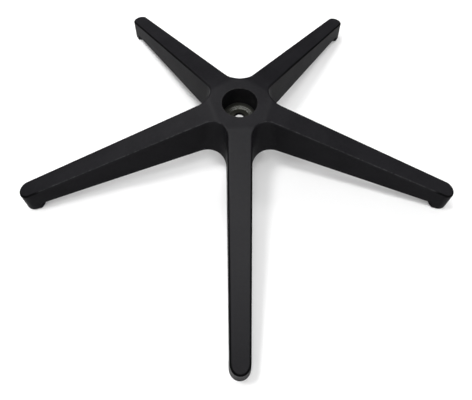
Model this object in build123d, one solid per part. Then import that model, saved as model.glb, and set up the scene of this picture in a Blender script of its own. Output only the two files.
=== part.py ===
from build123d import *

import os
from math import asin, atan, atan2, cos, hypot, pi, radians, sin, tan

# Five-arm base of an office chair: one hollow casting with a column socket and cast feet.
# Millimetres, +Z up. The origin is the centre of the socket's mouth, on the column axis.
# One arm points along -Y. Heights are measured from the floor until the last step.

# Overall form
arm_count = 5
reach = 320.0  # column axis to the end of a foot, at the floor
hub_height = 114.5  # floor to the socket's mouth

# Arms, seen from above at floor level
arm_root_width = 39.6
arm_root_distance = 60.0  # where arm_root_width is measured
foot_diameter = 26.8
wall_draft = 1.6  # degrees, the walls lean in towards the top

# Column axis to the wall between two arms
waist_at_mouth = 45.0
waist_at_floor = 56.5

# Top surface
flat_radius = 40.2  # column axis to the border between the level hub and an arm
flat_blend = 30.0
tip_height = 36.2  # top of an arm at its very end
edge_radius = 2.8

# Lower edge of the walls
rim_height_hub = 50.0
rim_hub_distance = 46.0  # the lower edge falls from here outwards
rim_blend = 40.0
rim_height_foot = 14.8

# Feet below the lower edge
foot_inner_radius = 16.5  # seen from above, on the side towards the column
scallop_radius = 7.5
scallop_slope = 0.3  # rise of the scallop where it runs into the lower edge
foot_edge_chamfer = 2.4

# Hollow underside
wall = 4.0
web = 4.5
end_wall = 6.0
rib = 3.2
rib_rise = 5.0  # the ribs stop this far above the walls' lower edge
cross_rib_count = 3

# Column socket
socket_diameter = 50.0
socket_depth = 35.0
socket_wall = 6.5
socket_floor = 4.0
mouth_chamfer = 0.5
seat_diameter = 46.8
seat_cone_depth = 2.2
seat_step_diameter = 40.8
seat_step = 0.3
recess_diameter = 30.8
recess_depth = 0.8
bolt_hole_diameter = 13.4

# Allowances of the construction
overrun = 1.0  # how far a cut runs past the face that it opens

# Values that follow from the ones above
pitch = 360 / arm_count
half_pitch = pi / arm_count
foot_inner = reach - foot_diameter
past_reach = reach + foot_diameter
top_slope = (hub_height - tip_height) / (reach - flat_radius)
rim_slope = (rim_height_hub - rim_height_foot) / (foot_inner - rim_hub_distance)
core_radius = socket_diameter / 2 + socket_wall
core_bottom = hub_height - socket_depth - socket_floor


def top_at(distance):
    """Height of an arm's top at a distance from the column axis."""
    return hub_height - top_slope * (distance - flat_radius)


def rim_at(distance):
    """Height of the walls' lower edge at a distance from the column axis."""
    return rim_height_hub - rim_slope * (distance - rim_hub_distance)


def lean_at(height):
    """How far the walls have leaned in at a height above the floor."""
    return height * tan(radians(wall_draft))


def round_the_arms(shape):
    """A copy for each arm of a shape that lies along +X, the first copy along -Y."""
    return [Rot(0, 0, arm * pitch - 90) * shape for arm in range(arm_count)]


def turned(points, radii):
    """Solid of revolution about the column axis from a filleted (distance, height) polygon."""
    profile = FilletPolyline(points, radius=radii, close=True)
    return revolve(Plane.XZ * make_face(profile), Axis.Z)


def arm_side():
    """Half width on the column axis and slope of an arm's straight side, at floor level."""
    root_half = arm_root_width / 2
    run = reach - foot_diameter / 2 - arm_root_distance
    slope = tan(atan2(root_half, run) - asin(foot_diameter / 2 / hypot(run, root_half)))
    return root_half + slope * arm_root_distance, slope


def star_edges(height, end, inset):
    """Edges of the star at a height, in order, its arms reaching end at the floor."""
    axis_half, slope = arm_side()
    steep = hypot(1, slope)
    axis_half -= (inset + lean_at(height)) * steep
    outermost = end - lean_at(height)
    end_x = (outermost - axis_half / steep) / (1 - slope / steep)
    end_radius = outermost - end_x

    waist_lean = (waist_at_floor - waist_at_mouth) / hub_height
    waist = waist_at_floor - waist_lean * height - inset
    corner_distance = (steep * waist - axis_half) / (
        steep - sin(half_pitch) - slope * cos(half_pitch)
    )
    corner_radius = corner_distance - waist

    across, along = 1 / steep, slope / steep
    end_touch = Vector(end_x + end_radius * along, end_radius * across)
    root_touch = Vector(
        corner_distance * cos(half_pitch) - corner_radius * along,
        corner_distance * sin(half_pitch) - corner_radius * across,
    )
    waist_point = Vector(waist * cos(half_pitch), waist * sin(half_pitch))
    next_root = Vector(root_touch.X, -root_touch.Y).rotate(Axis.Z, pitch)
    next_end = Vector(end_touch.X, -end_touch.Y).rotate(Axis.Z, pitch)
    one_pitch = [
        ThreePointArc(Vector(end_touch.X, -end_touch.Y), (outermost, 0), end_touch),
        Line(end_touch, root_touch),
        ThreePointArc(root_touch, waist_point, next_root),
        Line(next_root, next_end),
    ]
    copies = zip(*[round_the_arms(edge) for edge in one_pitch])
    return [Pos(0, 0, height) * edge for edges in copies for edge in edges]


def wall_face(lower, upper):
    """Wall between two edges one above the other: a plane, or part of a cone."""
    if lower.geom_type == GeomType.LINE:
        return make_face(Polyline(lower @ 0, lower @ 1, upper @ 1, upper @ 0, close=True)).face()
    return Shell.make_loft([Wire(lower), Wire(upper)], ruled=True).face()


def star_between(lower, upper):
    """Star with straight walls between two outlines one above the other."""
    walls = [wall_face(*pair) for pair in zip(lower, upper)]
    return Solid(Shell([*walls, make_face(lower).face(), make_face(upper).face()]))


def under_roof():
    """Space below the top surface: level at the hub, with a plane that falls along each arm."""
    profile = FilletPolyline(
        [
            (-past_reach, hub_height),
            (flat_radius, hub_height),
            (past_reach, top_at(past_reach)),
            (past_reach, -past_reach),
            (-past_reach, -past_reach),
        ],
        radius=[0, flat_blend, 0, 0, 0],
        close=True,
    )
    slab = extrude(Plane.XZ * make_face(profile), past_reach, both=True)
    roof, *others = round_the_arms(slab)
    for other in others:
        roof = roof & other
    return roof


def above_rim():
    """Space above the walls' lower edge."""
    return turned(
        [
            (0, rim_height_hub),
            (rim_hub_distance, rim_height_hub),
            (past_reach, rim_at(past_reach)),
            (past_reach, hub_height),
            (0, hub_height),
        ],
        [0, rim_blend, 0, 0, 0],
    )


def foot_zone():
    """Round zone that keeps a foot below the walls' lower edge and flares up into it."""
    sole_radius = foot_inner_radius - foot_edge_chamfer
    flare_end = foot_inner_radius + foot_diameter
    flare_height = rim_height_foot + scallop_slope * foot_diameter
    zone = turned(
        [
            (0, 0),
            (sole_radius, 0),
            (foot_inner_radius, foot_edge_chamfer),
            (foot_inner_radius, rim_height_foot),
            (flare_end, flare_height),
            (0, flare_height),
        ],
        [0, 0, 0, scallop_radius, 0, 0],
    )
    return Pos(foot_inner + foot_inner_radius, 0, 0) * zone


def top_border(body):
    """Edges round the top surface: those that only one of its faces has."""
    steepest = cos(2 * atan(top_slope))
    tops = [face for face in body.faces() if face.normal_at().Z > steepest]
    edges = [edge for face in tops for edge in face.edges()]
    return [edge for edge in edges if edges.count(edge) == 1]


def outer_body():
    """Outer form: leaning walls from the sloping top to the rising lower edge, with feet."""
    sole = star_edges(0, reach - foot_edge_chamfer, foot_edge_chamfer)
    ground = star_edges(foot_edge_chamfer, reach, 0)
    mouth = star_edges(hub_height, reach, 0)
    star = star_between(sole, ground) + star_between(ground, mouth)
    feet = [star & zone for zone in round_the_arms(foot_zone())]
    body = (star & above_rim()).fuse(*feet) & under_roof()
    return fillet(top_border(body), edge_radius)


def ribs():
    """A rib along each arm and short ribs across it, cut to rise with the walls' lower edge."""
    zone = turned(
        [
            (core_radius - rib, rim_height_hub + rib_rise),
            (rim_hub_distance, rim_height_hub + rib_rise),
            (foot_inner, rim_height_foot + rib_rise),
            (foot_inner, hub_height),
            (core_radius - rib, hub_height),
        ],
        [0, rim_blend, 0, 0, 0],
    )
    bars = [Pos(reach / 2, 0, hub_height / 2) * Box(reach, rib, hub_height)]
    for step in range(cross_rib_count):
        share = (step + 1) / (cross_rib_count + 1)
        distance = waist_at_floor + (foot_inner - waist_at_floor) * share
        bars.append(Pos(distance, 0, hub_height / 2) * Box(rib, arm_root_width, hub_height))
    grid = Part() + [copy for bar in bars for copy in round_the_arms(bar)]
    return zone & grid


def hollow():
    """Space under the arms and hub, round the socket and between the ribs."""
    under_web = Pos(0, 0, -web) * under_roof()
    lowest = star_edges(-web, foot_inner - end_wall, wall)
    highest = star_edges(hub_height, foot_inner - end_wall, wall)
    space = star_between(lowest, highest) & under_web
    core = Pos(0, 0, core_bottom) * Cylinder(
        core_radius, hub_height, align=(Align.CENTER, Align.CENTER, Align.MIN)
    )
    return space - core - ribs()


def socket():
    """Space of the column socket: chamfered mouth, bore, turned seat and bolt hole."""
    bore = socket_diameter / 2
    seat = hub_height - socket_depth
    recess = seat - recess_depth
    points = [
        (0, hub_height + overrun),
        (bore + mouth_chamfer + overrun, hub_height + overrun),
        (bore, hub_height - mouth_chamfer),
        (bore, seat + seat_cone_depth),
        (seat_diameter / 2, seat),
        (seat_step_diameter / 2, seat),
        (seat_step_diameter / 2, seat - seat_step),
        (recess_diameter / 2, seat - seat_step),
        (recess_diameter / 2, recess),
        (bolt_hole_diameter / 2, recess),
        (bolt_hole_diameter / 2, core_bottom - overrun),
        (0, core_bottom - overrun),
    ]
    return revolve(Plane.XZ * make_face(Polyline(points, close=True)), Axis.Z)


star_base = outer_body() - hollow() - socket()
os.makedirs("parts", exist_ok=True)
export_step(Pos(0, 0, -hub_height) * star_base, "parts/star_base.step")
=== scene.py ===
import math

import bpy
from mathutils import Matrix, Vector


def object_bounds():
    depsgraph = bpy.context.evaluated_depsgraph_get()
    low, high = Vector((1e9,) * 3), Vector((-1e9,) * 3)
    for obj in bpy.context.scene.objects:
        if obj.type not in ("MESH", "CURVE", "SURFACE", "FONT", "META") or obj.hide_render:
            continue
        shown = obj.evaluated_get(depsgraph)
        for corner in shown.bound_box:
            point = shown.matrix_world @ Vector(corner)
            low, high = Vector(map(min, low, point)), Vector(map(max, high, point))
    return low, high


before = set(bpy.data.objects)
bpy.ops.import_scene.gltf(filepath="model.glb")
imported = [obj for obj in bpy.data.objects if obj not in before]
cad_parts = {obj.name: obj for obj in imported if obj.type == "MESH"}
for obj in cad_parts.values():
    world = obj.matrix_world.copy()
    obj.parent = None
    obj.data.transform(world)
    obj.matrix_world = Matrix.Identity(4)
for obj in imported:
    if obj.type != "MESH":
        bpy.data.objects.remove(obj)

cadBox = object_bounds()
floorHeight = cadBox[0].z
print("frame loaded: box", [[round(value, 4) for value in corner] for corner in cadBox])


# node helpers

def setInput(tree, socket, value):
    if isinstance(value, bpy.types.NodeSocket):
        tree.links.new(value, socket)
    else:
        socket.default_value = value


def addNode(tree, kind, inputs=None, **settings):
    node = tree.nodes.new(kind)
    for name, value in settings.items():
        setattr(node, name, value)
    for name, value in (inputs or {}).items():
        setInput(tree, node.inputs[name], value)
    return node


def calculate(tree, operation, first, second=0.0, third=0.0):
    node = addNode(tree, "ShaderNodeMath", {0: first, 1: second, 2: third}, operation=operation)
    return node.outputs[0]


def multiply(tree, product, *factors):
    for factor in factors:
        product = calculate(tree, "MULTIPLY", product, factor)
    return product


def ramp(tree, value, low, high, start=0.0, end=1.0):
    limits = {"Value": value, "From Min": low, "From Max": high, "To Min": start, "To Max": end}
    return addNode(tree, "ShaderNodeMapRange", limits, interpolation_type="SMOOTHSTEP").outputs[0]


def fadeOut(tree, value, span):
    return ramp(tree, value, *span, 1.0, 0.0)


def blendValues(tree, factor, first, second):
    limits = {"Value": factor, "To Min": first, "To Max": second}
    return addNode(tree, "ShaderNodeMapRange", limits).outputs[0]


def blendColours(tree, factor, first, second):
    node = addNode(tree, "ShaderNodeMix", data_type="RGBA")
    for name, kind, value in (("Factor", "VALUE", factor), ("A", "RGBA", first), ("B", "RGBA", second)):
        socket = next(one for one in node.inputs if one.name == name and one.type == kind)
        setInput(tree, socket, value)
    return next(one for one in node.outputs if one.type == "RGBA")


def noiseAt(tree, place, size, detail, rough):
    settings = {"Vector": place, "Scale": 1.0 / size, "Detail": detail, "Roughness": rough}
    return addNode(tree, "ShaderNodeTexNoise", settings).outputs["Fac"]


def emptyTree(owner):
    owner.use_nodes = True
    owner.node_tree.nodes.clear()
    return owner.node_tree


# the coated casting

coatLook = {
    "colour": (0.0068, 0.0066, 0.0078, 1.0),
    "paleColour": (0.0112, 0.0109, 0.0125, 1.0),
    "patchNoise": (0.045, 3.0, 0.5),  # slow changes of shade: size in metres, detail, roughness
    "patchSpan": (0.3, 0.7),  # noise values at the dark and the pale colour
    "mottleNoise": (0.004, 4.0, 0.6),
    "mottleSpan": (0.25, 0.75),
    "mottleShare": 0.45,  # part of the shade that the mottle makes
    "borderDarkReflectionColour": (0.0022, 0.0022, 0.0024, 1.0),  # painted dark reflection: a dark line on the top's rounded border
    "borderSpecular": 0.3,  # share of the sheen left on the border
    "borderUpper": (0.9, 0.955),  # upward part of the normal where the border is full and ends
    "borderLower": (0.12, 0.3),  # the same towards the wall, where it ends and is full
    "borderStart": (0.03, 0.13),  # metres from the column axis, fades in along the arms
    "borderWaist": 0.3,  # strength at the hub
    "frontSide": (-0.93, -0.72),  # sideways part of the normal, facing the front fully and not at all
    "frontStrength": 0.1,  # share of the painted dark reflection left on the border that faces the front
    "footStart": (0.285, 0.3),  # metres from the column axis, the painted dark reflection is full again from here
    "levelMargin": 0.0001,  # keeps the sideways part finite on level faces
    "frontHighlightLower": (0.55, 0.7),  # upward part of the normal where the front's painted highlight line starts and is full
    "frontHighlightUpper": (0.86, 0.95),  # where it is still full and ends
    # painted highlight: a light line on the borders that face the front
    "frontHighlightColour": (0.034, 0.034, 0.036, 1.0),
    "socketEdge": 0.03,  # the socket's rim is left out
    "rimWearAndHighlightColour": (0.036, 0.036, 0.035, 1.0),  # lighter coat on the socket's rim: wear, and a painted highlight
    "rimWearAndHighlightRadius": (0.0253, 0.0262),
    "rimWearAndHighlightDepth": -0.0004,
    "roughness": 0.4,
    "roughnessChange": 0.1,
    "specular": 0.07,
    "slantSpecular": 0.011,  # the sheen that is left where the surface is seen at a slant
    "slantSpan": (0.15, 0.5),
    "grainNoise": (0.0007, 3.0, 0.6),  # the fine texture of the coat
    "grainHeight": 0.000035,  # metres
    "peelNoise": (0.0035, 1.0, 0.5),
    "peelHeight": 0.00003,
}

seatLook = {
    # the bright colour is used only for the ring's painted highlight
    "colour": (0.62, 0.63, 0.59, 1.0),
    "dullColour": (0.095, 0.097, 0.086, 1.0),
    "recessColour": (0.055, 0.055, 0.047, 1.0),  # the sunk middle
    "holeShadeColour": (0.004, 0.004, 0.004, 1.0),  # painted shade: dark band round the bolt hole
    "roughness": 0.34,
    "holeShadeRadius": (0.0076, 0.0092),  # metres, from the hole's band of painted shade to the sunk middle
    "recessRadius": (0.0142, 0.0154),  # from the sunk middle to the bright ring
    "rimRadius": (0.0196, 0.0212),  # where the ring turns dull again
    "brightSide": (0.17, 0.98),  # direction in plan of the part of the ring that catches the light
    "brightSpan": (0.3, 0.97),  # cosine of the angle to it
    "spotNoise": (0.0016, 3.0, 0.6),
    "spotSpan": (0.35, 0.65),
    "outerRadius": 0.0249,  # metres, the turned seat inside the socket
    "topHeight": -0.0331,
    "bottomHeight": -0.0362,
    "ringPitch": 0.0006,
    "ringHeight": 0.00001,
}


def measureCasting(tree):
    place = addNode(tree, "ShaderNodeTexCoord").outputs["Object"]
    axes = addNode(tree, "ShaderNodeSeparateXYZ", {"Vector": place}).outputs
    ySquare = multiply(tree, axes["Y"], axes["Y"])
    radius = calculate(tree, "SQRT", calculate(tree, "MULTIPLY_ADD", axes["X"], axes["X"], ySquare))
    facing = addNode(tree, "ShaderNodeNewGeometry").outputs["Normal"]
    normal = addNode(tree, "ShaderNodeSeparateXYZ", {"Vector": facing}).outputs
    drop = multiply(tree, normal["Z"], -1.0)
    square = calculate(tree, "MULTIPLY_ADD", normal["Z"], drop, 1.0 + coatLook["levelMargin"])
    level = calculate(tree, "SQRT", square)  # length of the normal in plan
    return {
        "place": place,
        "x": axes["X"],
        "y": axes["Y"],
        "height": axes["Z"],
        "radius": radius,
        "rise": normal["Z"],
        "sideways": calculate(tree, "DIVIDE", normal["Y"], level),
        "outside": calculate(tree, "GREATER_THAN", radius, coatLook["socketEdge"]),
    }


def seatMask(tree, at):
    inside = calculate(tree, "LESS_THAN", at["radius"], seatLook["outerRadius"])
    below = calculate(tree, "LESS_THAN", at["height"], seatLook["topHeight"])
    above = calculate(tree, "GREATER_THAN", at["height"], seatLook["bottomHeight"])
    return multiply(tree, inside, below, above)


# borders that face the front: there the painted dark reflection is weaker and the painted highlight line
# is added
def frontMask(tree, at):
    facing = fadeOut(tree, at["sideways"], coatLook["frontSide"])
    return multiply(tree, facing, fadeOut(tree, at["radius"], coatLook["footStart"]))


# painted dark reflection: a dark line along the tops' rounded borders, weaker where they face the front
def borderDarkReflectionMask(tree, at, front):
    look = coatLook
    upper = fadeOut(tree, at["rise"], look["borderUpper"])
    lower = ramp(tree, at["rise"], *look["borderLower"])
    strength = blendValues(tree, front, 1.0, look["frontStrength"])
    alongArm = ramp(tree, at["radius"], *look["borderStart"], look["borderWaist"], 1.0)
    return multiply(tree, upper, lower, strength, alongArm, at["outside"])


# painted highlight: a thin light line on the borders that face the front, broken by the mottle
def frontHighlightMask(tree, at, front, mottle):
    lower = ramp(tree, at["rise"], *coatLook["frontHighlightLower"])
    upper = fadeOut(tree, at["rise"], coatLook["frontHighlightUpper"])
    return multiply(tree, lower, upper, front, mottle, at["outside"])


# lighter rim of the socket's mouth: wear, and a painted highlight
def rimWearAndHighlightMask(tree, at, mottle):
    inner = fadeOut(tree, at["radius"], coatLook["rimWearAndHighlightRadius"])
    high = calculate(tree, "GREATER_THAN", at["height"], coatLook["rimWearAndHighlightDepth"])
    return multiply(tree, inner, high, mottle)


def seatShade(tree, at):
    look = seatLook
    # painted highlight: the ring takes the bright colour only on the side that catches the light, broken
    # by spots
    spots = ramp(tree, noiseAt(tree, at["place"], *look["spotNoise"]), *look["spotSpan"])
    across = multiply(tree, at["x"], look["brightSide"][0])
    along = calculate(tree, "MULTIPLY_ADD", at["y"], look["brightSide"][1], across)
    bright = ramp(tree, calculate(tree, "DIVIDE", along, at["radius"]), *look["brightSpan"])
    ring = blendColours(tree, multiply(tree, spots, bright), look["dullColour"], look["colour"])
    rim = ramp(tree, at["radius"], *look["rimRadius"])
    ring = blendColours(tree, rim, ring, look["dullColour"])
    # painted shade round the bolt hole
    holePart = ramp(tree, at["radius"], *look["holeShadeRadius"])
    middle = blendColours(tree, holePart, look["holeShadeColour"], look["recessColour"])
    return blendColours(tree, ramp(tree, at["radius"], *look["recessRadius"]), middle, ring)


def surfaceHeight(tree, at, bare):
    grain = noiseAt(tree, at["place"], *coatLook["grainNoise"])
    peel = multiply(tree, noiseAt(tree, at["place"], *coatLook["peelNoise"]), coatLook["peelHeight"])
    coated = calculate(tree, "MULTIPLY_ADD", grain, coatLook["grainHeight"], peel)
    turns = multiply(tree, at["radius"], 2 * math.pi / seatLook["ringPitch"])
    turned = multiply(tree, calculate(tree, "SINE", turns), seatLook["ringHeight"])
    return blendValues(tree, bare, coated, turned)


def coatMaterial():
    look = coatLook
    material = bpy.data.materials.new("blackCoat")
    tree = emptyTree(material)
    at = measureCasting(tree)
    bare = seatMask(tree, at)
    patches = ramp(tree, noiseAt(tree, at["place"], *look["patchNoise"]), *look["patchSpan"])
    mottle = ramp(tree, noiseAt(tree, at["place"], *look["mottleNoise"]), *look["mottleSpan"])
    shade = blendValues(tree, look["mottleShare"], patches, mottle)
    front = frontMask(tree, at)
    border = borderDarkReflectionMask(tree, at, front)

    colour = blendColours(tree, shade, look["colour"], look["paleColour"])
    # painted dark reflection on the rounded borders, which also get less sheen
    colour = blendColours(tree, border, colour, look["borderDarkReflectionColour"])
    # painted highlight line on the front-facing borders
    colour = blendColours(tree, frontHighlightMask(tree, at, front, mottle), colour, look["frontHighlightColour"])
    # socket rim: wear, and a painted highlight
    colour = blendColours(tree, rimWearAndHighlightMask(tree, at, mottle), colour, look["rimWearAndHighlightColour"])

    halfChange = look["roughnessChange"] / 2
    roughness = blendValues(tree, shade, look["roughness"] - halfChange, look["roughness"] + halfChange)
    slant = addNode(tree, "ShaderNodeLayerWeight").outputs["Facing"]
    sheen = ramp(tree, slant, *look["slantSpan"], look["specular"], look["slantSpecular"])
    sheen = multiply(tree, sheen, blendValues(tree, border, 1.0, look["borderSpecular"]))
    bump = addNode(tree, "ShaderNodeBump", {"Height": surfaceHeight(tree, at, bare), "Distance": 1.0})

    surface = {
        "Base Color": blendColours(tree, bare, colour, seatShade(tree, at)),
        "Metallic": bare,
        "Roughness": blendValues(tree, bare, roughness, seatLook["roughness"]),
        "Specular IOR Level": sheen,
        "Normal": bump.outputs["Normal"],
    }
    shader = addNode(tree, "ShaderNodeBsdfPrincipled", surface)
    addNode(tree, "ShaderNodeOutputMaterial", {"Surface": shader.outputs[0]})
    return material


coat = coatMaterial()
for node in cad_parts.values():
    for slot in node.material_slots:
        slot.material = coat
print("casting finished")


# floor and surroundings

floorLook = {
    "halfSize": 6.0,  # metres
    "colour": (0.75, 0.75, 0.75, 1.0),
    "glow": 0.21,  # only seen, so that the floor is as white as the background
    "farGlow": 1.0,
    "glowSpan": (0.8, 2.4),  # metres from the column axis
}

worldLook = {
    "colour": (1.0, 1.0, 1.0, 1.0),
    "fill": 0.1,  # light from all round
    "background": 1.0,
    "wall": 0.12,  # what the sheen shows between the white backdrop and the ceiling
    "ceiling": 0.6,
    "backdropTop": 3.0,  # degrees above the horizon
    "wallStart": 8.0,
    "wallEnd": 15.0,
    "ceilingStart": 35.0,
}


def floorMaterial():
    material = bpy.data.materials.new("paleFloor")
    tree = emptyTree(material)
    place = addNode(tree, "ShaderNodeTexCoord").outputs["Object"]
    distance = addNode(tree, "ShaderNodeVectorMath", {0: place}, operation="LENGTH").outputs["Value"]
    glow = ramp(tree, distance, *floorLook["glowSpan"], floorLook["glow"], floorLook["farGlow"])
    path = addNode(tree, "ShaderNodeLightPath").outputs
    mirrored = calculate(tree, "MAXIMUM", path["Is Glossy Ray"], path["Is Transmission Ray"])
    seen = calculate(tree, "MAXIMUM", path["Is Camera Ray"], mirrored)
    matt = addNode(tree, "ShaderNodeBsdfDiffuse", {"Color": floorLook["colour"]})
    light = addNode(tree, "ShaderNodeEmission", {"Strength": multiply(tree, seen, glow)})
    total = addNode(tree, "ShaderNodeAddShader", {0: matt.outputs[0], 1: light.outputs[0]})
    below = addNode(tree, "ShaderNodeNewGeometry").outputs["Backfacing"]
    clear = addNode(tree, "ShaderNodeBsdfTransparent")  # the underside is looked at through the floor
    sides = addNode(tree, "ShaderNodeMixShader", {0: below, 1: total.outputs[0], 2: clear.outputs[0]})
    addNode(tree, "ShaderNodeOutputMaterial", {"Surface": sides.outputs[0]})
    return material


def floorSheet():
    half = floorLook["halfSize"]
    corners = [(x * half, y * half, floorHeight) for x, y in ((-1, -1), (1, -1), (1, 1), (-1, 1))]
    mesh = bpy.data.meshes.new("floorSheet")
    mesh.from_pydata(corners, [], [(0, 1, 2, 3)])
    mesh.materials.append(floorMaterial())
    sheet = bpy.data.objects.new("floorSheet", mesh)
    bpy.context.scene.collection.objects.link(sheet)


def whiteWorld():
    look = worldLook
    world = bpy.data.worlds.new("studio")
    bpy.context.scene.world = world
    tree = emptyTree(world)
    direction = addNode(tree, "ShaderNodeTexCoord").outputs["Generated"]
    rise = addNode(tree, "ShaderNodeSeparateXYZ", {"Vector": direction}).outputs["Z"]
    backdropTop, wallStart, wallEnd, ceilingStart = (
        math.sin(math.radians(look[name]))
        for name in ("backdropTop", "wallStart", "wallEnd", "ceilingStart")
    )
    backdrop = ramp(tree, rise, backdropTop, wallStart, look["background"], look["wall"])
    above = ramp(tree, rise, wallEnd, ceilingStart, 0.0, look["ceiling"] - look["wall"])
    studio = calculate(tree, "ADD", backdrop, above)
    path = addNode(tree, "ShaderNodeLightPath").outputs
    direct = calculate(tree, "MAXIMUM", path["Is Camera Ray"], path["Is Transmission Ray"])
    strength = blendValues(tree, path["Is Glossy Ray"], look["fill"], studio)
    strength = blendValues(tree, direct, strength, look["background"])
    light = addNode(tree, "ShaderNodeBackground", {"Color": look["colour"], "Strength": strength})
    addNode(tree, "ShaderNodeOutputWorld", {"Surface": light.outputs[0]})


floorSheet()
whiteWorld()
print("floor and world made")


# lamps

lampDistance = 2.2  # metres from the socket's mouth

lampPlan = {  # azimuth from +X and height angle in degrees, size in metres, power in watts
    "top": {"azimuth": 0, "elevation": 90, "size": 1.2, "power": 8.0},
    "highFront": {"azimuth": -90, "elevation": 72, "size": 0.8, "power": 18.5},
    "highLeft": {"azimuth": 185, "elevation": 72, "size": 0.45, "power": 25.0},
    "back": {"azimuth": 112, "elevation": 48, "size": 0.6, "power": 11.0},
    "backRight": {"azimuth": 60, "elevation": 56, "size": 0.45, "power": 7.0},
    "lowBack": {"azimuth": 128, "elevation": 28, "size": 0.6, "power": 14.0},
    "lowLeft": {"azimuth": 225, "elevation": 18, "size": 0.9, "power": 3.5},
    "lowFront": {"azimuth": -45, "elevation": 18, "size": 0.9, "power": 6.5},
    "lowRight": {"azimuth": 0, "elevation": 18, "size": 0.9, "power": 3.2},
}


def softLamps():
    for name, plan in lampPlan.items():
        light = bpy.data.lights.new(name, "AREA")
        light.shape = "DISK"
        light.size = plan["size"]
        light.energy = plan["power"]
        lamp = bpy.data.objects.new(name, light)
        bpy.context.scene.collection.objects.link(lamp)
        turn, rise = math.radians(plan["azimuth"]), math.radians(plan["elevation"])
        level = math.cos(rise)
        outward = Vector((math.cos(turn) * level, math.sin(turn) * level, math.sin(rise)))
        lamp.location = outward * lampDistance
        lamp.rotation_euler = outward.to_track_quat("Z", "Y").to_euler()
        lamp.visible_camera = False


softLamps()
print("lamps placed")


# camera at the viewpoint of the picture

cameraView = {
    "frame": (472, 400),  # picture size, pixels
    "focal": 450.67,  # focal length, pixels
    "middle": (243.0, 100.0),  # where the optical axis meets the picture, pixels
    "distance": 0.63329,  # metres, to the point on the column axis that the camera turns about
    "aimHeight": -0.0075,
    "elevation": 52.987,  # degrees
    "azimuth": -1.667,
    "pan": 0.413,
    "tilt": -0.710,
    "roll": -1.576,
    "clip": (0.01, 100.0),  # metres
}


def pictureCamera():
    view = cameraView
    elevation, azimuth, pan, tilt, roll = (
        math.radians(view[name]) for name in ("elevation", "azimuth", "pan", "tilt", "roll")
    )
    data = bpy.data.cameras.new("pictureCamera")
    camera = bpy.data.objects.new("pictureCamera", data)
    bpy.context.scene.collection.objects.link(camera)
    width, height = view["frame"]
    data.lens = view["focal"] * data.sensor_width / width
    data.shift_x = (width / 2 - view["middle"][0]) / width
    data.shift_y = (view["middle"][1] - height / 2) / width
    data.clip_start, data.clip_end = view["clip"]

    back = Vector((0, -math.cos(elevation), math.sin(elevation)))
    right = Vector((1, 0, 0))
    rows = Matrix((right, back.cross(right), back))
    turn = Matrix.Rotation(roll, 3, "Z") @ Matrix.Rotation(tilt, 3, "X") @ Matrix.Rotation(pan, 3, "Y")
    around = Matrix.Rotation(azimuth, 3, "Z")
    place = around @ (back * view["distance"]) + Vector((0, 0, view["aimHeight"]))
    axes = around @ (turn @ rows).transposed()
    camera.matrix_world = Matrix.Translation(place) @ axes.to_4x4()
    bpy.context.scene.camera = camera
    bpy.context.scene.view_settings.view_transform = "Standard"


pictureCamera()
print("camera set")
